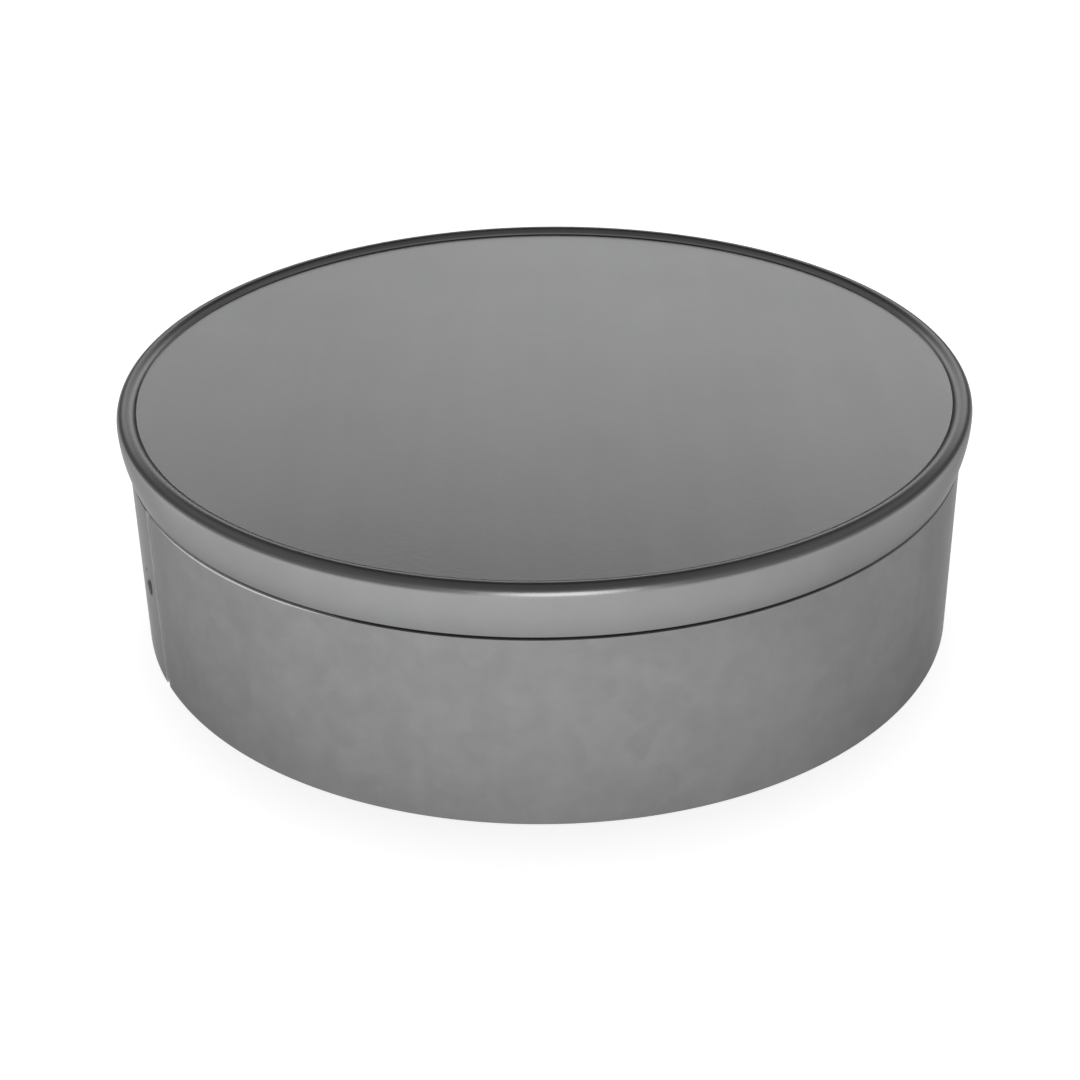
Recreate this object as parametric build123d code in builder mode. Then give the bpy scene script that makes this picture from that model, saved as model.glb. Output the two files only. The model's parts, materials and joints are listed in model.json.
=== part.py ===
from build123d import *
from math import acos, asin, atan2, cos, degrees, radians, sin, sqrt
import os

# Round duct end cap of galvanised sheet. A rolled collar slides into the duct, and an end
# panel is hooked over its flared upper lip. +Z points to the closed end, -Y to the front,
# and the origin is the centre of the open edge.

# Driving dimensions, in millimetres and degrees
duct_bore = 152.4  # inside diameter of the round duct
slip = 0.3  # radial clearance of the collar in the duct
height = 45.0  # open edge to the crest of the rim
sheet = 0.55  # thickness of both sheets
play = 0.05  # room left between layers that are pressed together

rim_proud = 1.4  # how far the rim stands out past the collar
crest_bend = 1.9  # outer bend radius of the rim's crest
panel_drop = 1.0  # crest of the rim down to the panel's face
skirt_depth = 9.5  # crest of the rim down to the skirt's raw edge

neck_rise = 0.4  # height of the slope that takes the collar in under the skirt
neck_gap = 0.15  # slope's upper end to the skirt's raw edge
flare_rise = 2.6  # height of the collar's flared lip inside the rim

seam_angle = 205.5  # where the collar's outer end stops, from +X
lap_width = 11.3  # overlap of the collar's two ends
step_bend = 1.2  # bend radius of the step that takes the inner end inward
lap_relief = 0.3  # slit between the lapped end and the strip above it

clinch_mouth = 5.0  # diameter of the pressed joint at the outside
clinch_depth = 0.9  # how far its floor is pressed in
clinch_draft = 30.0  # slope of its side
clinch_height = 18.0  # open edge up to its centre


def polar(radius, angle):
    """Point in plan at a radius and an angle from +X."""
    return (radius * cos(radians(angle)), radius * sin(radians(angle)))


def inner_flank(angle):
    """Point of the section inside the flank, at an angle below its widest circle."""
    out, down = polar(flank_bend - sheet, angle)
    return (flank_r + out, crest_z - down)


def upright(angle):
    """Plane through the Z axis whose X points outward at an angle from +X."""
    return Plane(
        origin=(0, 0, 0),
        x_dir=(cos(radians(angle)), sin(radians(angle)), 0),
        z_dir=(sin(radians(angle)), -cos(radians(angle)), 0),
    )


def arc_angle(length):
    """Angle that a length takes along the collar's outside."""
    return degrees(length / collar_r)


# Rim: crest, flank and skirt, which ends against the necked collar, flush with its wall
collar_r = duct_bore / 2 - slip
neck_r = collar_r - sheet - play
rim_r = collar_r + rim_proud
crest_r = rim_r - crest_bend
crest_z = height - crest_bend
panel_z = height - panel_drop
crest_start = 180 - degrees(asin((panel_z - crest_z) / crest_bend))
skirt_r = neck_r + play + sheet
skirt_z = height - skirt_depth
lean = 2 * degrees(atan2(rim_r - skirt_r, crest_z - skirt_z))
flank_bend = (crest_z - skirt_z) / sin(radians(lean))
flank_r = rim_r - flank_bend

# Channel inside the rim, a bevelled outline one sheet inside the crest and the flank
channel = crest_bend - sheet
corner = channel * (2 - sqrt(2))
under_z = panel_z - sheet
under_r = crest_r - sqrt(channel**2 - (under_z - crest_z) ** 2)

# Neck and lip of the collar. The lip's outer corner seats in the channel
neck_head = skirt_z - neck_gap
neck_foot = neck_head - neck_rise
lip_r = crest_r + channel - play
lip_z = crest_z
neck_line = [(collar_r, neck_foot), (neck_r, neck_head), (neck_r, lip_z - flare_rise), (lip_r, lip_z)]

# Plan of the lap, by angle from +X. The step is two bends, each tangent to its end of the strip
bend_in_r = collar_r - step_bend
bend_out_r = neck_r + step_bend
step_cos = (bend_in_r**2 + bend_out_r**2 - 4 * step_bend**2) / (2 * bend_in_r * bend_out_r)
step_end = seam_angle + arc_angle(play)
step_start = step_end + degrees(acos(step_cos))
lap_end = seam_angle - arc_angle(lap_width)
clinch_angle = (seam_angle + lap_end) / 2

with BuildPart() as collar:
    # The strip turned round the axis, from the step to its outer end
    with BuildSketch(upright(step_start - 360)):
        with BuildLine():
            Polyline((collar_r, 0), *neck_line)
            offset(amount=sheet, side=Side.LEFT, kind=Kind.TANGENT)
        make_face()
    revolve(axis=Axis.Z, revolution_arc=360 - (step_start - seam_angle))

    # Over the step, the neck and the lip run on until they butt against the outer end
    with BuildSketch(upright(step_end)):
        with BuildLine():
            Polyline((collar_r, neck_foot - lap_relief), *neck_line)
            offset(amount=sheet, side=Side.LEFT, kind=Kind.TANGENT)
        make_face()
    revolve(axis=Axis.Z, revolution_arc=step_start - step_end)

    # Below them, the inner end steps inward and runs on behind the outer end
    with BuildSketch(Plane.XY):
        with BuildLine():
            turn = (Vector(polar(bend_in_r, step_start)) + Vector(polar(bend_out_r, step_end))) / 2
            bend = TangentArc(polar(collar_r, step_start), turn, tangent=polar(1, step_start - 90))
            TangentArc(turn, polar(neck_r, step_end), tangent=bend % 1)
            CenterArc((0, 0), neck_r, step_end, lap_end - step_end)
            offset(amount=sheet, side=Side.RIGHT)
        make_face()
    extrude(amount=neck_foot - 2 * lap_relief)

    # Pressed joint: a tapered pocket through both layers of the lap, with its boss inside
    clinch = Plane(
        origin=(*polar(collar_r, clinch_angle), clinch_height),
        x_dir=(0, 0, 1),
        z_dir=(*polar(1, clinch_angle), 0),
    )
    with BuildSketch(clinch.offset(-sheet / 2)):
        Circle(clinch_mouth / 2 + sheet)
    extrude(amount=-(clinch_depth + 2 * sheet + play - sheet / 2), taper=clinch_draft)
    with BuildSketch(clinch):
        Circle(clinch_mouth / 2)
    extrude(amount=-clinch_depth, taper=clinch_draft, mode=Mode.SUBTRACT)
collar.part.label = "collar"

with BuildPart() as end_panel:
    # Flat disc, crest, flank and skirt outside, and the bevelled channel back to the axis
    with BuildSketch(upright(0)):
        with BuildLine():
            crest = CenterArc((crest_r, crest_z), crest_bend, crest_start, -crest_start)
            flank = CenterArc((flank_r, crest_z), flank_bend, 0, -lean)
            Polyline(
                crest @ 0,
                (0, panel_z),
                (0, under_z),
                (under_r, under_z),
                (crest_r - channel + corner, crest_z + channel),
                (crest_r + channel - corner, crest_z + channel),
                (crest_r + channel, crest_z),
                inner_flank(lean / 2),
                inner_flank(lean),
                flank @ 1,
            )
        make_face()
    revolve(axis=Axis.Z)
end_panel.part.label = "end_panel"

os.makedirs("parts", exist_ok=True)
export_step(collar.part, "parts/collar.step")
export_step(end_panel.part, "parts/end_panel.step")
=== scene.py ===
import json
import math

import bmesh
import bpy
from bpy.props import FloatProperty, FloatVectorProperty, IntProperty, PointerProperty
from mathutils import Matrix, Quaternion, Vector


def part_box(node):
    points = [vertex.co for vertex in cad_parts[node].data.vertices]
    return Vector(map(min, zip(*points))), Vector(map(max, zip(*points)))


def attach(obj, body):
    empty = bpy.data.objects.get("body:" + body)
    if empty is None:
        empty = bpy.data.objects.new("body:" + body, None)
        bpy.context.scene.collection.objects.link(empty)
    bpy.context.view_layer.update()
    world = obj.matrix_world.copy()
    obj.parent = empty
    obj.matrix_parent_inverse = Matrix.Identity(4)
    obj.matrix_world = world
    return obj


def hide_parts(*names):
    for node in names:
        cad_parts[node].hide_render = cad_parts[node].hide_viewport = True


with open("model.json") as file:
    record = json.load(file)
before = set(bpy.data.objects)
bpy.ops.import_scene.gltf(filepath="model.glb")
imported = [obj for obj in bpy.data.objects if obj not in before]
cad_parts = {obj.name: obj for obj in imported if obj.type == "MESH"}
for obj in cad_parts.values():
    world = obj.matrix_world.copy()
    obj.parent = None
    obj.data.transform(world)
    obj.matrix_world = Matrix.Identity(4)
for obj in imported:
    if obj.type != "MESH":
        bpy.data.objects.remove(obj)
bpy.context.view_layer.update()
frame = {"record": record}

bl_info = {
    "name": "Round duct end cap",
    "version": (1, 0, 0),
    "blender": (4, 5, 0),
    "location": "3D View > Sidebar > Duct cap",
    "description": "Makes a galvanised end cap for a round duct, with a plain studio round it",
    "category": "Add Mesh",
}

panel_low, panel_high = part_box("end_panel")
lip_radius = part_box("collar")[1].x
spigot = next(m for m in frame["record"]["mounts"] if m["name"] == "duct_spigot")["dims"]
MM = 0.001

# Brightness by height above the horizon, as the sine of the angle: a long window behind the
# cap, and the dim room round the rest
WINDOW = (
    (0.12, 0.0),
    (0.22, 0.3),
    (0.32, 1.0),
    (0.42, 0.8),
    (0.49, 0.01),
    (0.64, 0.0),
    (0.8, 0.01),
    (1.0, 0.1),
)
ROOM = ((0.0, 1.0), (0.3, 0.6), (0.42, 0.5), (0.52, 0.8), (0.64, 1.0), (0.8, 0.73), (1.0, 0.53))

# Where the window starts and is full, as the share of a level direction that points back,
# and the edge of its left pane, as the share that points to the right
WINDOW_SIDE = (0.65, 0.95)
PANE_EDGE = (-0.085, -0.06)

# Heights in which the window's brighter foot and its dimmer left pane end, as sines too
WINDOW_FOOT = (0.34, 0.42)
PANE_TOP = (0.4, 0.46)

# Stretches of the floor, in metres, in which its glow changes: far out, and then along Y
# and X where the cap's sides mirror it
GLOW_FAR = (0.6, 2.0)
GLOW_SIDES = (-0.12, -0.05)
GLOW_BACK = (-0.055, -0.02)
GLOW_RIGHT = (0.0, 0.1)

# Turn and scale by axis of the streaks that rolling leaves
WALL_STREAKS = ((0, 0, 0), (260, 260, 14))
PANEL_STREAKS = ((0, 0, 0.35), (220, 12, 220))

# Cells a metre of the zinc's patterns, and how far each moves the tone up and down
RUFFLE_SCALE = 420.0
MOTTLE_SCALE = 340.0
CLOUD_SCALE = 38.0
SKIN_SCALE = 1600.0
STREAK_TONE = 0.02
CLOUD_TONE = 0.015

# Range in which a noise's values lie, nearly all of them
NOISE = (0.3, 0.7)

# Painted light that lifts the shade in the groove under the rim: its middle past the seam,
# in widths of the lap, and how much each axis counts in its reach
GROOVE_LIGHT_MIDDLE = 2.4
GROOVE_LIGHT_AXES = (0.02, 0.02, 1)

# Faces along each bend of the end panel's outline, and cuts across its flat runs
BEND_FACES = 14
FLAT_CUTS = 20

# Waves a metre of the flat sheet, and where they fade, in shares of the rim's radius
WAVE_SCALE = 26.0
WAVE_FADE = (0.6, 0.93)


def length(name, description, default, **limits):
    """A size in metres, shown with its unit."""
    return FloatProperty(
        name=name, description=description, default=default, unit="LENGTH", precision=5, **limits
    )


def angle(name, description, degrees):
    """An angle, given here in degrees."""
    return FloatProperty(
        name=name, description=description, default=math.radians(degrees), subtype="ANGLE"
    )


def factor(name, description, default):
    """A share from nothing to all."""
    return FloatProperty(
        name=name, description=description, default=default, min=0, max=1, subtype="FACTOR"
    )


class SheetSizes(bpy.types.PropertyGroup):
    """Sizes that the collar and the end panel share"""

    thickness: length("Thickness", "Thickness of both sheets", 0.55 * MM)
    play: length("Play", "Room left between layers pressed together", 0.05 * MM)
    edge_round: length("Edge rounding", "How far the cut edges are eased", 0.07 * MM)
    steps_round: IntProperty(
        name="Steps round", description="Faces round the cap", default=288, min=48, max=720
    )


class CollarSizes(bpy.types.PropertyGroup):
    """Sizes of the rolled collar"""

    wall_radius: length("Wall radius", "Outside of the plain wall", spigot["r_mm"] * MM)
    wall_height: length("Wall height", "Open edge to the neck", spigot["length_mm"] * MM)
    neck_rise: length("Neck rise", "Height of the slope into the neck", 0.4 * MM)
    flare_rise: length("Flare rise", "Height of the flared lip", 2.6 * MM)
    lip_height: length("Lip height", "Open edge to the lip's outer corner", 43.1 * MM)
    lip_radius: length("Lip radius", "Lip's outer corner", lip_radius)
    seam_angle: angle("Seam angle", "Where the outer end stops, from +X", 205.5)
    lap_width: length("Lap width", "Overlap of the strip's two ends", 11.3 * MM)
    step_bend: length("Step bend", "Bend radius of the step at the lap", 1.2 * MM)
    lap_relief: length("Lap relief", "Slit over the lapped end", 0.3 * MM)
    clinch_mouth: length("Clinch mouth", "Diameter of the pressed joint", 5.0 * MM)
    clinch_depth: length("Clinch depth", "How far it is pressed in", 0.9 * MM)
    clinch_draft: angle("Clinch draft", "Slope of its side", 30)
    clinch_height: length("Clinch height", "Open edge to its centre", 18.0 * MM)
    fine_step: length("Fine step", "Face size round the pressed joint", 0.28 * MM)
    coarse_step: length("Coarse step", "Face height on the plain wall", 3.0 * MM)


class PanelSizes(bpy.types.PropertyGroup):
    """Sizes of the pressed end panel and its rim"""

    rim_radius: length("Rim radius", "Widest circle of the rim", panel_high.x)
    crest_height: length("Crest height", "Open edge to the crest", panel_high.z)
    crest_bend: length("Crest bend", "Outer bend radius of the crest", 1.9 * MM)
    panel_drop: length("Panel drop", "Crest down to the panel's face", 1.0 * MM)
    skirt_radius: length(
        "Skirt radius", "Outside of the skirt's raw edge, flush with the wall", spigot["r_mm"] * MM
    )
    skirt_height: length("Skirt height", "Open edge to the skirt's raw edge", panel_low.z)
    waviness: length("Waviness", "How far the flat sheet wanders", 0.05 * MM)
    seed: IntProperty(name="Seed", description="Picks the waviness", default=4, min=0)


class SheetFinish(bpy.types.PropertyGroup):
    """Finish of the bare galvanised sheet, and the painted shade and painted light of its marks"""

    colour: FloatVectorProperty(
        name="Colour",
        description="Zinc's colour face on",
        subtype="COLOR",
        default=(0.305, 0.306, 0.308),
        min=0,
        max=1,
    )
    roughness: factor("Roughness", "How dull the zinc is", 0.31)
    spangle: length("Spangle", "Size of the zinc's crystals", 5.0 * MM)
    contrast: factor("Contrast", "How much the panel's crystals differ", 0.012)
    wall_contrast: factor("Wall contrast", "How much the collar's crystals differ", 0.065)
    wall_tone: factor("Wall tone", "Collar's brightness against the panel's", 0.85)
    # Painted shade: the top of the rim's crest made darker
    crest_painted_shade: factor("Crest tone", "Brightness on top of the rim", 0.67)
    # Painted shade: the inside of the pressed joint made darker
    joint_painted_shade: factor("Joint tone", "Brightness inside the pressed joint", 0.45)
    # Painted light: the seam's fold at the lap's step made brighter
    fold_painted_light: FloatProperty(
        name="Fold tone", description="Brightness in the seam's fold", default=1.9
    )
    # Painted light: the groove at the left front made brighter, lifting its shade
    groove_painted_light: FloatProperty(
        name="Groove tone", description="Brightness in the groove at the left front", default=2.2
    )


class StudioSizes(bpy.types.PropertyGroup):
    """Camera, lamps and floor"""

    camera_place: FloatVectorProperty(
        name="Camera place",
        description="Where the camera stands",
        subtype="TRANSLATION",
        unit="LENGTH",
        default=(-0.0002, -0.3358, 0.19883),
    )
    camera_line: FloatVectorProperty(
        name="Camera line",
        description="Which way the camera looks",
        subtype="DIRECTION",
        default=(-0.00246, 0.87155, -0.4903),
    )
    camera_roll: angle("Camera roll", "Turn about the camera's own line", -0.902)
    lens: FloatProperty(
        name="Lens", description="Focal length", default=66.97, subtype="DISTANCE_CAMERA"
    )
    window: FloatProperty(name="Window", description="Brightness of the light behind", default=2.8)
    pane_dim: factor("Pane dim", "How far the window's left pane is dimmer", 0.14)
    room: FloatProperty(name="Room", description="Brightness of the room", default=0.4)
    floor_glow: factor("Floor glow", "Share of its white that the floor gives by itself", 0.66)
    side_glow: factor("Side glow", "The same where the cap's sides mirror the floor", 0.51)
    right_drop: factor("Right drop", "How far the glow falls to the right of the cap", 0.2)
    back_rise: factor("Back rise", "How far the glow rises again behind the cap", 0.24)
    floor_size: length("Floor size", "Side of the square floor", 8.0)


def sizes():
    """All property groups of this file, on the open scene."""
    return bpy.context.scene.duct_cap


class DuctCap(bpy.types.PropertyGroup):
    """Everything that a user would change"""

    sheet: PointerProperty(type=SheetSizes)
    collar: PointerProperty(type=CollarSizes)
    panel: PointerProperty(type=PanelSizes)
    finish: PointerProperty(type=SheetFinish)
    studio: PointerProperty(type=StudioSizes)


# Node trees


class Tree:
    """Short ways to add and join nodes in one tree."""

    def __init__(self, tree):
        self.tree = tree

    def add(self, kind, inputs=None, **settings):
        """A node with its settings made and its inputs set or joined, by name or number."""
        node = self.tree.nodes.new(kind)
        for name, value in settings.items():
            setattr(node, name, value)
        for key, value in (inputs or {}).items():
            self.put(node.inputs[key], value)
        return node

    def put(self, socket, value):
        """Joins an output to an input, or sets the input's own value."""
        if isinstance(value, bpy.types.NodeSocket):
            self.tree.links.new(value, socket)
        else:
            socket.default_value = value

    def first(self, kind, inputs=None, **settings):
        """The first output of a new node."""
        return self.add(kind, inputs, **settings).outputs[0]

    def math(self, operation, *values):
        """One sum, as a Math node's output."""
        return self.first("ShaderNodeMath", dict(enumerate(values)), operation=operation)

    def vector(self, operation, *values):
        """One sum on vectors, as a Vector Math node's output."""
        return self.first("ShaderNodeVectorMath", dict(enumerate(values)), operation=operation)

    def size(self, vector):
        """How long a vector is."""
        node = self.add("ShaderNodeVectorMath", {0: vector}, operation="LENGTH")
        return node.outputs["Value"]

    def noise(self, place, scale, detail):
        """Smooth noise over a place, as the outputs of its node."""
        inputs = {"Vector": place, "Scale": scale, "Detail": detail}
        return self.add("ShaderNodeTexNoise", inputs).outputs

    def ramp(self, value, stops):
        """Brightness that follows a list of places and shades, straight between them."""
        node = self.add("ShaderNodeValToRGB", {"Fac": value})
        elements = node.color_ramp.elements
        while len(elements) < len(stops):
            elements.new(1)
        for element, (place, shade) in zip(elements, stops):
            element.position = place
            element.color = (shade, shade, shade, 1)
        return node.outputs["Color"]

    def span(self, value, low, high, to_low, to_high, smooth=False):
        """Value moved from one range to another, and held at its ends."""
        inputs = {"Value": value, "From Min": low, "From Max": high}
        inputs.update({"To Min": to_low, "To Max": to_high})
        kind = "SMOOTHSTEP" if smooth else "LINEAR"
        return self.add("ShaderNodeMapRange", inputs, interpolation_type=kind).outputs["Result"]


def empty_tree(owner):
    """The node tree of a material or a world, with nothing in it."""
    owner.use_nodes = True
    owner.node_tree.nodes.clear()
    return Tree(owner.node_tree)


# Finish of the zinc


def galvanised(name, streaks, sheet_tone, contrast, painted_marks=()):
    """Bare galvanised sheet on Object coordinates: dull spangle, rolling streaks and fine wear.

    A mark is painted shade or light: a place, each axis's weight in its reach, the reach and a
    tone.
    """
    finish = sizes().finish
    material = bpy.data.materials.new(name)
    nodes = empty_tree(material)
    place = nodes.add("ShaderNodeTexCoord").outputs["Object"]

    # Crystals with feathered borders
    ruffle = nodes.noise(place, RUFFLE_SCALE, 3.0)["Color"]
    crystal = nodes.add(
        "ShaderNodeTexVoronoi",
        {
            "Vector": nodes.vector("MULTIPLY_ADD", ruffle, (3.5 * MM, 3.5 * MM, 3.5 * MM), place),
            "Scale": 1 / finish.spangle,
            "Smoothness": 0.35,
        },
        feature="SMOOTH_F1",
    )
    shade = nodes.add("ShaderNodeSeparateColor", {0: crystal.outputs["Color"]}).outputs

    # Tone: crystals and mottling, then rolling streaks and slow clouds
    turn, scale = streaks
    rolled = nodes.first(
        "ShaderNodeMapping", {"Vector": place, "Rotation": turn, "Scale": scale}
    )
    streak = nodes.noise(rolled, 1.0, 4.0)["Fac"]
    cloud = nodes.noise(place, CLOUD_SCALE, 2.0)["Fac"]
    mottle = nodes.noise(place, MOTTLE_SCALE, 3.0)["Fac"]
    half = contrast / 2
    grain = nodes.math(
        "ADD",
        nodes.span(shade[0], 0, 1, 1 - half, 1 + half),
        nodes.span(mottle, *NOISE, -half, half),
    )
    wear = nodes.math(
        "ADD",
        nodes.span(streak, *NOISE, -STREAK_TONE, STREAK_TONE),
        nodes.span(cloud, *NOISE, -CLOUD_TONE, CLOUD_TONE),
    )
    tone = nodes.math("MULTIPLY", nodes.math("ADD", grain, wear), sheet_tone)
    # Painted shade and painted light at the marks, each scaling the tone within its reach
    for middle, axes, reach, tone_there in painted_marks:
        away = nodes.size(nodes.vector("MULTIPLY", nodes.vector("SUBTRACT", place, middle), axes))
        mark = nodes.span(away, 0.7 * reach, reach, tone_there, 1, smooth=True)
        tone = nodes.math("MULTIPLY", tone, mark)
    colour = nodes.first(
        "ShaderNodeVectorMath", {0: tuple(finish.colour), "Scale": tone}, operation="SCALE"
    )

    roughness = nodes.math(
        "ADD",
        nodes.span(shade[1], 0, 1, finish.roughness - half / 4, finish.roughness + half / 4),
        nodes.span(streak, *NOISE, -0.003, 0.003),
    )
    skin = nodes.noise(place, SKIN_SCALE, 2.0)["Fac"]
    bump = nodes.first("ShaderNodeBump", {"Height": skin, "Strength": 0.06, "Distance": 0.2 * MM})
    surface = nodes.first(
        "ShaderNodeBsdfPrincipled",
        {
            "Base Color": colour,
            "Metallic": 1.0,
            "Roughness": roughness,
            "Specular Tint": (0.45, 0.45, 0.45, 1),
            "Normal": bump,
        },
    )
    nodes.add("ShaderNodeOutputMaterial", {"Surface": surface})
    return material


# Pieces


def finish_piece(piece, node):
    """Eases the cut edges, and stands the piece in for its CAD node."""
    bevel = piece.modifiers.new("Eased edges", "BEVEL")
    bevel.width = sizes().sheet.edge_round
    bevel.segments = 2
    bevel.angle_limit = math.radians(35)
    bevel.harden_normals = True
    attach(piece, "root")
    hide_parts(node)


def turned_panel_tree():
    """Geometry Nodes tree that turns the end panel's outline round the axis."""
    tree = bpy.data.node_groups.new("Turned end panel", "GeometryNodeTree")
    tree.is_modifier = True
    inputs = {
        "Geometry": "Geometry",
        "Rim radius": "Float",
        "Crest height": "Float",
        "Crest bend": "Float",
        "Panel drop": "Float",
        "Skirt radius": "Float",
        "Skirt height": "Float",
        "Thickness": "Float",
        "Waviness": "Float",
        "Steps round": "Int",
        "Seed": "Int",
        "Material": "Material",
    }
    for name, kind in inputs.items():
        socket = tree.interface.new_socket(name, in_out="INPUT", socket_type="NodeSocket" + kind)
        if kind == "Float":
            socket.subtype = "DISTANCE"
    tree.interface.new_socket("Geometry", in_out="OUTPUT", socket_type="NodeSocketGeometry")
    nodes = Tree(tree)
    given = nodes.add("NodeGroupInput").outputs
    calc = nodes.math
    rim, height, bend, sheet = (
        given[name] for name in ("Rim radius", "Crest height", "Crest bend", "Thickness")
    )

    # Crest: a bend that starts at the panel's face, and the sheet's other face inside it
    crest_r, crest_z = calc("SUBTRACT", rim, bend), calc("SUBTRACT", height, bend)
    panel_z = calc("SUBTRACT", height, given["Panel drop"])
    under_z, roof_z = calc("SUBTRACT", panel_z, sheet), calc("SUBTRACT", height, sheet)
    channel = calc("SUBTRACT", bend, sheet)

    def crest_corner(radius, low_z):
        """Where a bend round the crest meets a face, and the corner that the bend rounds off."""
        start = calc("ARCSINE", calc("DIVIDE", calc("SUBTRACT", low_z, crest_z), radius))
        half_turn = calc("SUBTRACT", math.pi / 4, calc("DIVIDE", start, 2.0))
        to_face = calc("MULTIPLY", radius, calc("COSINE", start))
        to_corner = calc("MULTIPLY", radius, calc("TANGENT", half_turn))
        return calc("SUBTRACT", crest_r, to_face), calc("SUBTRACT", crest_r, to_corner)

    panel_r, crest_in = crest_corner(bend, panel_z)
    under_r, channel_in = crest_corner(channel, under_z)
    channel_out = calc("SUBTRACT", rim, sheet)

    # Flank: one gentle bend from the widest circle to the skirt's raw edge, cut square
    skirt_r, skirt_z = given["Skirt radius"], given["Skirt height"]
    down = calc("SUBTRACT", crest_z, skirt_z)
    half_lean = calc("ARCTAN2", calc("SUBTRACT", rim, skirt_r), down)
    lean = calc("MULTIPLY", half_lean, 2.0)
    flank = calc("DIVIDE", down, calc("SINE", lean))
    inner_flank = calc("SUBTRACT", flank, sheet)
    flank_z = calc("SUBTRACT", crest_z, calc("MULTIPLY", flank, calc("TANGENT", half_lean)))
    inner_drop = calc("MULTIPLY", inner_flank, calc("TANGENT", half_lean))
    inner_flank_z = calc("SUBTRACT", crest_z, inner_drop)
    edge_r = calc("SUBTRACT", skirt_r, calc("MULTIPLY", sheet, calc("COSINE", lean)))
    edge_z = calc("ADD", skirt_z, calc("MULTIPLY", sheet, calc("SINE", lean)))

    # Corners of the outline, each with the bend that rounds it
    corners = [
        (0.0, panel_z, 0.0),
        (panel_r, panel_z, 0.0),
        (crest_in, height, bend),
        (rim, height, bend),
        (rim, flank_z, flank),
        (skirt_r, skirt_z, 0.0),
        (edge_r, edge_z, 0.0),
        (channel_out, inner_flank_z, inner_flank),
        (channel_out, roof_z, channel),
        (channel_in, roof_z, channel),
        (under_r, under_z, 0.0),
        (0.0, under_z, 0.0),
    ]
    index = nodes.first("GeometryNodeInputIndex")
    corner = nodes.add("GeometryNodeIndexSwitch", data_type="VECTOR")
    round_off = nodes.add("GeometryNodeIndexSwitch", data_type="FLOAT")
    cuts = nodes.add("GeometryNodeIndexSwitch", data_type="INT")
    for switch in (corner, round_off, cuts):
        nodes.put(switch.inputs["Index"], index)
        for _ in range(len(corners) - 2):
            switch.index_switch_items.new()
    flat_runs = (0, len(corners) - 2)
    for number, (radius, up, rounding) in enumerate(corners):
        place = {"X": calc("SUBTRACT", radius, rim), "Y": calc("MULTIPLY", up, -1.0)}
        nodes.put(corner.inputs[str(number)], nodes.first("ShaderNodeCombineXYZ", place))
        nodes.put(round_off.inputs[str(number)], rounding)
        nodes.put(cuts.inputs[str(number)], FLAT_CUTS if number in flat_runs else 0)

    # Outline as a curve. Its flat runs are cut up, so that the sheet can wander a little
    chain = nodes.first("GeometryNodeMeshLine", {"Count": len(corners)})
    line = nodes.first("GeometryNodeMeshToCurve", {"Mesh": chain})
    placed = nodes.first(
        "GeometryNodeSetPosition", {"Geometry": line, "Position": corner.outputs[0]}
    )
    noted = nodes.first(
        "GeometryNodeStoreNamedAttribute",
        {"Geometry": placed, "Name": "rounding", "Value": round_off.outputs[0]},
        data_type="FLOAT",
        domain="POINT",
    )
    cut = nodes.first("GeometryNodeSubdivideCurve", {"Curve": noted, "Cuts": cuts.outputs[0]})
    rounding = nodes.first(
        "GeometryNodeInputNamedAttribute", {"Name": "rounding"}, data_type="FLOAT"
    )
    outline = nodes.first(
        "GeometryNodeFilletCurve",
        {"Curve": cut, "Radius": rounding, "Limit Radius": True, "Count": BEND_FACES},
        mode="POLY",
    )

    # Turned round the axis and closed at its poles
    ring = nodes.first(
        "GeometryNodeCurvePrimitiveCircle", {"Resolution": given["Steps round"], "Radius": rim}
    )
    turned = nodes.first("GeometryNodeCurveToMesh", {"Curve": ring, "Profile Curve": outline})
    closed = nodes.first("GeometryNodeMergeByDistance", {"Geometry": turned, "Distance": 1e-6})

    # The flat sheet wanders a little, less and less towards the rim
    flat = nodes.vector("MULTIPLY", nodes.first("GeometryNodeInputPosition"), (1, 1, 0))
    wander = nodes.first(
        "ShaderNodeTexNoise",
        {"Vector": flat, "W": given["Seed"], "Scale": WAVE_SCALE, "Detail": 0.0},
        noise_dimensions="4D",
    )
    start, end = (calc("MULTIPLY", rim, share) for share in WAVE_FADE)
    fade = nodes.span(nodes.size(flat), start, end, 1, 0, smooth=True)
    wave = calc("MULTIPLY", calc("SUBTRACT", wander, 0.5), given["Waviness"])
    lift = calc("MULTIPLY", wave, fade)
    offset = nodes.first("ShaderNodeCombineXYZ", {"Z": lift})
    wavy = nodes.first("GeometryNodeSetPosition", {"Geometry": closed, "Offset": offset})
    real = nodes.first("GeometryNodeRealizeInstances", {"Geometry": wavy})
    clad = nodes.first(
        "GeometryNodeSetMaterial", {"Geometry": real, "Material": given["Material"]}
    )
    nodes.add("NodeGroupOutput", {"Geometry": clad})
    return tree


def from_nodes(name, tree, values):
    """A plain mesh piece made by a Geometry Nodes tree with the values given by input name."""
    maker = bpy.data.objects.new("maker", bpy.data.meshes.new("maker"))
    bpy.context.collection.objects.link(maker)
    modifier = maker.modifiers.new("Nodes", "NODES")
    modifier.node_group = tree
    for item in tree.interface.items_tree:
        if item.in_out == "INPUT" and item.name in values:
            modifier[item.identifier] = values[item.name]
    graph = bpy.context.evaluated_depsgraph_get()
    mesh = bpy.data.meshes.new_from_object(maker.evaluated_get(graph), depsgraph=graph)
    bpy.data.objects.remove(maker)
    mesh.name = name
    rounding = mesh.attributes.get("rounding")
    if rounding:
        mesh.attributes.remove(rounding)
    mesh.shade_smooth()
    piece = bpy.data.objects.new(name, mesh)
    bpy.context.collection.objects.link(piece)
    return piece


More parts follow.
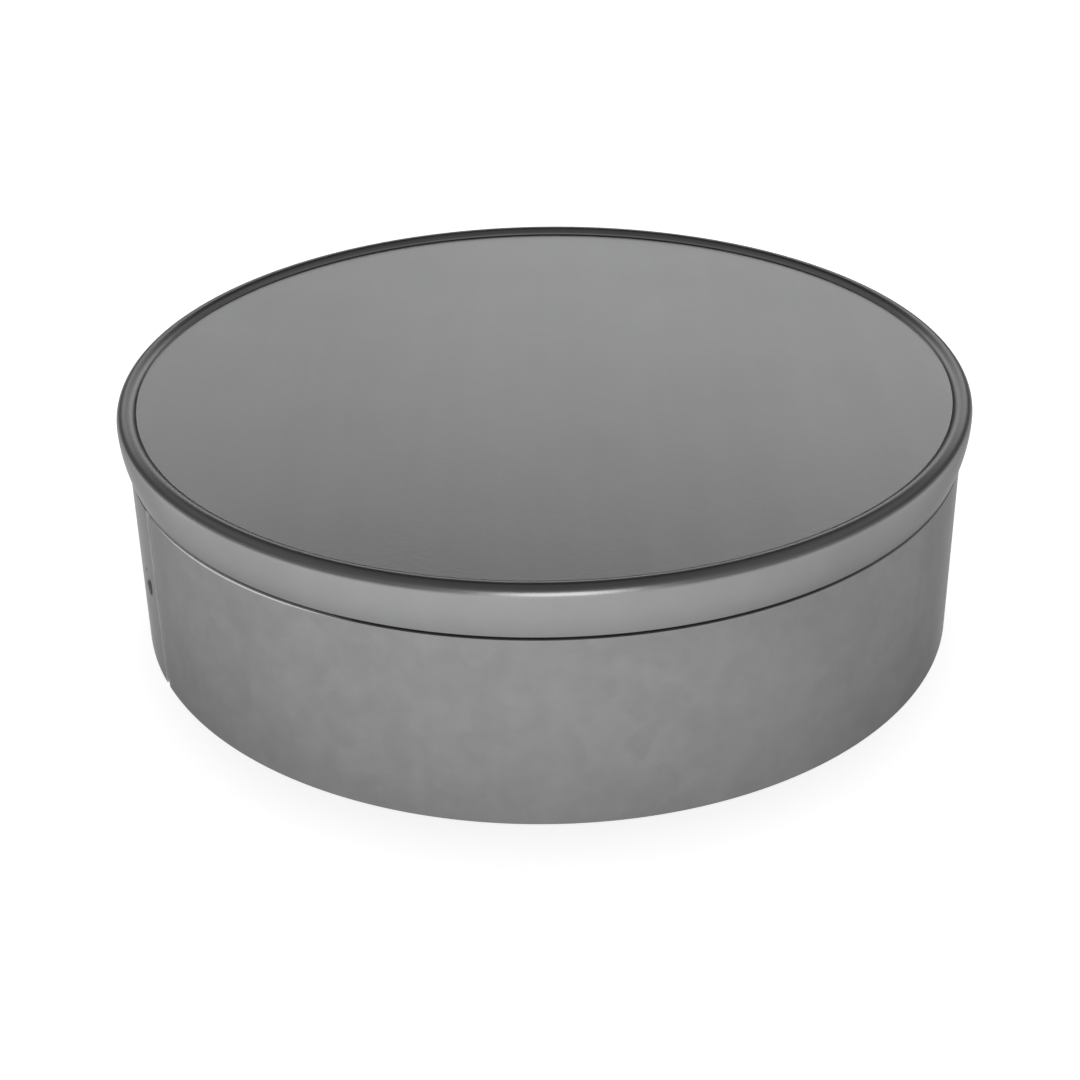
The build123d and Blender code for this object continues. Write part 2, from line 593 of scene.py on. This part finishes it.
def spaced(low, high, step):
    """Evenly spaced values from low up to, and without, high."""
    count = max(1, math.ceil(abs(high - low) / step))
    return [low + (high - low) * i / count for i in range(count)]


def clinch_window(collar):
    """Half the side of the finely divided square round the pressed joint."""
    return collar.clinch_mouth / 2 + 3 * collar.fine_step


def collar_outline(collar, sheet):
    """Heights and outer radii of the section, foot to lip, and the rows that end its slit."""
    neck_r = collar.wall_radius - sheet.thickness - sheet.play
    neck_foot = collar.wall_height
    neck_head = neck_foot + collar.neck_rise
    flare_foot = collar.lip_height - collar.flare_rise
    lap_top = neck_foot - 2 * collar.lap_relief
    slit_top = neck_foot - collar.lap_relief
    window = clinch_window(collar)
    low, high = collar.clinch_height - window, collar.clinch_height + window
    heights = (
        spaced(0, low, collar.coarse_step)
        + spaced(low, high, collar.fine_step)
        + spaced(high, lap_top, collar.coarse_step)
        + [lap_top, slit_top, neck_foot]
    )
    rows = [(z, collar.wall_radius) for z in heights]
    slit = (len(rows) - 3, len(rows) - 2)
    rows += [(neck_head, neck_r), ((neck_head + flare_foot) / 2, neck_r), (flare_foot, neck_r)]
    rows.append((collar.lip_height, collar.lip_radius))
    return rows, slit


def inner_outline(rows, thickness):
    """The section's inner face, one sheet square to the outer one, with mitred corners."""
    inner = []
    for i, (z, r) in enumerate(rows):
        z0, r0 = rows[max(i - 1, 0)]
        z1, r1 = rows[min(i + 1, len(rows) - 1)]
        below = math.atan2(r - r0, z - z0) if i > 0 else math.atan2(r1 - r, z1 - z)
        above = math.atan2(r1 - r, z1 - z) if i < len(rows) - 1 else below
        middle, half = (below + above) / 2, (above - below) / 2
        reach = thickness / math.cos(half)
        inner.append((z + reach * math.sin(middle), r - reach * math.cos(middle)))
    return inner


def collar_stations(collar, sheet):
    """Bearings along the strip from its outer to its lapped end, each with its shift inward.

    Also where the step and the lap start in that list, and the pressed joint's bearing.
    """
    inward = sheet.thickness + sheet.play
    step_length = math.sqrt(4 * collar.step_bend * inward - inward**2)
    start = collar.seam_angle
    turn = 2 * math.pi
    step_start = start - turn + (sheet.play + step_length) / collar.wall_radius
    step_end = start - turn + sheet.play / collar.wall_radius
    lap_end = start - turn - collar.lap_width / collar.wall_radius
    window = clinch_window(collar) / collar.wall_radius
    clinch = start - collar.lap_width / collar.wall_radius / 2
    fine = collar.fine_step / collar.wall_radius
    coarse = turn / sheet.steps_round
    ring = (
        spaced(start, clinch + window, coarse)
        + spaced(clinch + window, clinch - window, fine)
        + spaced(clinch - window, step_start, coarse)
    )
    step = spaced(step_start, step_end, 0.7 * fine)
    lap = (
        spaced(step_end, clinch - turn + window, coarse)
        + spaced(clinch - turn + window, clinch - turn - window, fine)
        + spaced(clinch - turn - window, lap_end, coarse)
        + [lap_end]
    )
    stations = [(bearing, 0.0) for bearing in ring]
    for bearing in step:
        done = (step_start - bearing) / (step_start - step_end)
        share = 2 * done * done if done < 0.5 else 1 - 2 * (1 - done) ** 2
        stations.append((bearing, inward * share))
    stations += [(bearing, inward) for bearing in lap]
    return stations, len(ring), len(ring) + len(step), clinch


def press_depth(collar, clinch, bearing, z):
    """How far the pressed joint moves the sheet inward at a bearing and a height."""
    across = math.remainder(bearing - clinch, 2 * math.pi) * collar.wall_radius
    reach = math.hypot(across, z - collar.clinch_height)
    mouth = collar.clinch_mouth / 2
    floor = mouth - collar.clinch_depth * math.tan(collar.clinch_draft)
    sunk = min(max((mouth - reach) / (mouth - floor), 0.0), 1.0)
    return collar.clinch_depth * sunk * sunk * (3 - 2 * sunk)


def collar_mesh(name, collar, sheet):
    """The rolled strip with its lap, step, slit, neck, lip and pressed joint."""
    outer, slit = collar_outline(collar, sheet)
    inner = inner_outline(outer, sheet.thickness)
    stations, step_first, lap_first, clinch = collar_stations(collar, sheet)
    lap_top, slit_top = slit
    last_row = len(outer) - 1
    work = bmesh.new()

    def ring_of(bearing, shift, low, high):
        """Vertex pairs, outer and inner, of one station between two rows."""
        pairs = {}
        for row in range(low, high + 1):
            pair = []
            for z, r in (outer[row], inner[row]):
                r -= shift + press_depth(collar, clinch, bearing, z)
                pair.append(work.verts.new((r * math.cos(bearing), r * math.sin(bearing), z)))
            pairs[row] = pair
        return pairs

    def skin(first, second, low, high):
        """Outer, inner, lower and upper faces between two stations."""
        for row in range(low, high):
            work.faces.new((first[row][0], first[row + 1][0], second[row + 1][0], second[row][0]))
            work.faces.new((first[row][1], second[row][1], second[row + 1][1], first[row + 1][1]))
        work.faces.new((first[low][0], second[low][0], second[low][1], first[low][1]))
        work.faces.new((first[high][0], first[high][1], second[high][1], second[high][0]))

    def cap(pairs, low, high, flip):
        """End face of a station between two rows."""
        for row in range(low, high):
            face = [pairs[row][0], pairs[row][1], pairs[row + 1][1], pairs[row + 1][0]]
            work.faces.new(face[::-1] if flip else face)

    # The whole strip, from its outer end to the step
    whole = [ring_of(*station, 0, last_row) for station in stations[: step_first + 1]]
    for first, second in zip(whole, whole[1:]):
        skin(first, second, 0, last_row)
    cap(whole[0], 0, last_row, False)
    root = whole[-1]

    # Under the slit it steps inward and runs on behind the outer end
    lower = [root] + [ring_of(*station, 0, lap_top) for station in stations[step_first + 1 :]]
    for first, second in zip(lower, lower[1:]):
        skin(first, second, 0, lap_top)
    cap(lower[-1], 0, lap_top, True)

    # Over the slit the neck and the lip run on, until they butt against the outer end
    cap(root, lap_top, slit_top, True)
    bridge = [root] + [
        ring_of(bearing, 0.0, slit_top, last_row)
        for bearing, _ in stations[step_first + 1 : lap_first + 1]
    ]
    for first, second in zip(bridge, bridge[1:]):
        skin(first, second, slit_top, last_row)
    cap(bridge[-1], slit_top, last_row, True)

    mesh = bpy.data.meshes.new(name)
    work.to_mesh(mesh)
    work.free()
    mesh.shade_smooth()
    return mesh


class MakeCollar(bpy.types.Operator):
    """Make the rolled collar that slides into the duct"""

    bl_idname = "duct_cap.make_collar"
    bl_label = "Make collar"

    def execute(self, context):
        made = sizes()
        collar, finish = made.collar, made.finish
        mesh = collar_mesh("rolled_collar", collar, made.sheet)

        def on_wall(along, up):
            """Point of the wall at a length past the seam and a height."""
            bearing = collar.seam_angle + along / collar.wall_radius
            across, back = math.cos(bearing), math.sin(bearing)
            return (collar.wall_radius * across, collar.wall_radius * back, up)

        joint = on_wall(-collar.lap_width / 2, collar.clinch_height)
        fold = on_wall(collar.step_bend / 2, 0)
        groove = on_wall(
            GROOVE_LIGHT_MIDDLE * collar.lap_width, collar.wall_height + collar.neck_rise / 2
        )
        painted_marks = (
            # Painted shade inside the pressed joint's dimple
            (joint, (1, 1, 1), collar.clinch_mouth / 2, finish.joint_painted_shade),
            # Painted light along the seam's fold at the step
            (fold, (1, 1, 0), 1.1 * MM, finish.fold_painted_light),
            # Painted light that lifts the shade in the groove at the left front
            (groove, GROOVE_LIGHT_AXES, 0.6 * MM, finish.groove_painted_light),
        )
        mesh.materials.append(
            galvanised("zinc_wall", WALL_STREAKS, finish.wall_tone, finish.wall_contrast, painted_marks)
        )
        piece = bpy.data.objects.new("rolled_collar", mesh)
        context.collection.objects.link(piece)
        finish_piece(piece, "collar")
        return {"FINISHED"}


class MakeEndPanel(bpy.types.Operator):
    """Make the end panel with the rim that hooks over the collar"""

    bl_idname = "duct_cap.make_end_panel"
    bl_label = "Make end panel"

    def execute(self, context):
        made = sizes()
        panel, sheet, finish = made.panel, made.sheet, made.finish
        top = (0, 0, panel.crest_height)
        # Painted shade on top of the rim's crest
        crest = (top, (0, 0, 1), 0.95 * panel.panel_drop, finish.crest_painted_shade)
        values = {
            "Rim radius": panel.rim_radius,
            "Crest height": panel.crest_height,
            "Crest bend": panel.crest_bend,
            "Panel drop": panel.panel_drop,
            "Skirt radius": panel.skirt_radius,
            "Skirt height": panel.skirt_height,
            "Thickness": sheet.thickness,
            "Waviness": panel.waviness,
            "Steps round": sheet.steps_round,
            "Seed": panel.seed,
            "Material": galvanised("zinc_panel", PANEL_STREAKS, 1.0, finish.contrast, (crest,)),
        }
        piece = from_nodes("pressed_end_panel", turned_panel_tree(), values)
        finish_piece(piece, "end_panel")
        return {"FINISHED"}


# Studio


def room_light(studio):
    """A dim room with a long window behind the cap, white to the camera."""
    world = bpy.data.worlds.new("Studio room")
    bpy.context.scene.world = world
    nodes = empty_tree(world)
    way = nodes.add("ShaderNodeTexCoord").outputs["Generated"]
    parts = nodes.add("ShaderNodeSeparateXYZ", {0: way}).outputs
    up = parts["Z"]
    level = nodes.size(nodes.vector("MULTIPLY", way, (1, 1, 0)))
    back = nodes.math("DIVIDE", parts["Y"], level)
    aside = nodes.math("DIVIDE", parts["X"], level)

    # Low down the window is brighter, and its left pane is dimmer than the right one
    brighter = nodes.span(up, *WINDOW_FOOT, 1.1, 1)
    low_down = nodes.span(up, *PANE_TOP, 1, 0)
    dimmer = nodes.math("MULTIPLY", low_down, nodes.span(aside, *PANE_EDGE, studio.pane_dim, 0))
    pane = nodes.math("SUBTRACT", brighter, dimmer)
    window = nodes.math("MULTIPLY", nodes.ramp(up, WINDOW), pane)
    lit = nodes.first(
        "ShaderNodeMix",
        {
            "Factor": nodes.span(back, *WINDOW_SIDE, 0, 1, smooth=True),
            "A": nodes.math("MULTIPLY", nodes.ramp(up, ROOM), studio.room),
            "B": nodes.math("MULTIPLY", window, studio.window),
        },
        data_type="FLOAT",
    )
    seen = nodes.add("ShaderNodeLightPath").outputs["Is Camera Ray"]
    strength = nodes.math("MAXIMUM", lit, seen)
    shade = nodes.first("ShaderNodeBackground", {"Color": (1, 1, 1, 1), "Strength": strength})
    nodes.add("ShaderNodeOutputWorld", {"Surface": shade})


def white_floor(studio):
    """A white floor that keeps the cap's soft shadow."""
    half = studio.floor_size / 2
    mesh = bpy.data.meshes.new("studio_floor")
    corners = [(-half, -half, 0), (half, -half, 0), (half, half, 0), (-half, half, 0)]
    mesh.from_pydata(corners, [], [(0, 1, 2, 3)])
    floor = bpy.data.objects.new("studio_floor", mesh)
    bpy.context.collection.objects.link(floor)
    material = bpy.data.materials.new("floor_white")
    nodes = empty_tree(material)
    path = nodes.add("ShaderNodeLightPath").outputs
    straight = nodes.math("MAXIMUM", path["Is Camera Ray"], path["Is Transmission Ray"])

    # White far out too
    spot = nodes.add("ShaderNodeTexCoord").outputs["Object"]
    plain = nodes.span(nodes.size(spot), *GLOW_FAR, studio.floor_glow, 1)

    # Weaker where the cap's sides mirror it, more so on the right, and less so at the back
    parts = nodes.add("ShaderNodeSeparateXYZ", {0: spot}).outputs
    sides = nodes.span(parts["Y"], *GLOW_SIDES, studio.floor_glow, studio.side_glow)
    rise = nodes.span(parts["Y"], *GLOW_BACK, 0, studio.back_rise)
    drop = nodes.span(parts["X"], *GLOW_RIGHT, 0, studio.right_drop)
    mirrored = nodes.math("ADD", sides, nodes.math("SUBTRACT", rise, drop))
    strength = nodes.math(
        "ADD",
        nodes.math("MULTIPLY", straight, plain),
        nodes.math("MULTIPLY", path["Is Glossy Ray"], mirrored),
    )
    matt = nodes.first("ShaderNodeBsdfDiffuse", {"Color": (0.8, 0.8, 0.8, 1)})
    glow = nodes.first("ShaderNodeEmission", {"Strength": strength})
    both = nodes.first("ShaderNodeAddShader", {0: matt, 1: glow})
    nodes.add("ShaderNodeOutputMaterial", {"Surface": both})
    mesh.materials.append(material)


def soft_lamp(name, place, aim, size, power, mirrored=True):
    """A square soft box that faces a point, and that metal mirrors or not."""
    light = bpy.data.lights.new(name, "AREA")
    light.shape = "SQUARE"
    light.size = size
    light.energy = power
    lamp = bpy.data.objects.new(name, light)
    lamp.location = place
    lamp.rotation_euler = (Vector(aim) - Vector(place)).to_track_quat("-Z", "Y").to_euler()
    lamp.visible_glossy = mirrored
    bpy.context.collection.objects.link(lamp)


def studio_camera(studio):
    """The camera at the photograph's viewing angle."""
    view = bpy.data.cameras.new("camera")
    view.lens = studio.lens
    view.sensor_width = 36
    camera = bpy.data.objects.new("camera", view)
    camera.location = studio.camera_place
    level = Vector(studio.camera_line).to_track_quat("-Z", "Y")
    camera.rotation_mode = "QUATERNION"
    camera.rotation_quaternion = level @ Quaternion((0, 0, 1), studio.camera_roll)
    bpy.context.collection.objects.link(camera)
    bpy.context.scene.camera = camera


class MakeStudio(bpy.types.Operator):
    """Make the floor, the room's light, the lamps and the camera"""

    bl_idname = "duct_cap.make_studio"
    bl_label = "Make studio"

    def execute(self, context):
        studio = sizes().studio
        room_light(studio)
        white_floor(studio)
        soft_lamp(
            "top_box", place=(0, 0.5, 1.5), aim=(0, 0, 0), size=1.4, power=10, mirrored=False
        )
        soft_lamp("front_box", place=(0.1, -1.6, 0.5), aim=(0, 0, 0.04), size=0.8, power=6)
        studio_camera(studio)
        context.scene.view_settings.view_transform = "Standard"
        return {"FINISHED"}


class DuctCapPanel(bpy.types.Panel):
    """Sizes of the duct end cap and the buttons that make it"""

    bl_idname = "VIEW3D_PT_duct_cap"
    bl_label = "Duct end cap"
    bl_space_type = "VIEW_3D"
    bl_region_type = "UI"
    bl_category = "Duct cap"

    def draw(self, context):
        made = context.scene.duct_cap
        for group in (made.sheet, made.collar, made.panel, made.finish, made.studio):
            box = self.layout.box()
            for name in group.bl_rna.properties.keys():
                if name not in ("rna_type", "name"):
                    box.prop(group, name)
        for maker in makers:
            self.layout.operator(maker.bl_idname)


makers = (MakeCollar, MakeEndPanel, MakeStudio)
classes = (
    SheetSizes,
    CollarSizes,
    PanelSizes,
    SheetFinish,
    StudioSizes,
    DuctCap,
    *makers,
    DuctCapPanel,
)


def register():
    for cls in classes:
        bpy.utils.register_class(cls)
    bpy.types.Scene.duct_cap = PointerProperty(type=DuctCap)


def unregister():
    del bpy.types.Scene.duct_cap
    for cls in reversed(classes):
        bpy.utils.unregister_class(cls)


def main():
    """Makes the whole scene."""
    register()
    bpy.ops.duct_cap.make_collar()
    bpy.ops.duct_cap.make_end_panel()
    bpy.ops.duct_cap.make_studio()


if __name__ == "__main__":
    main()
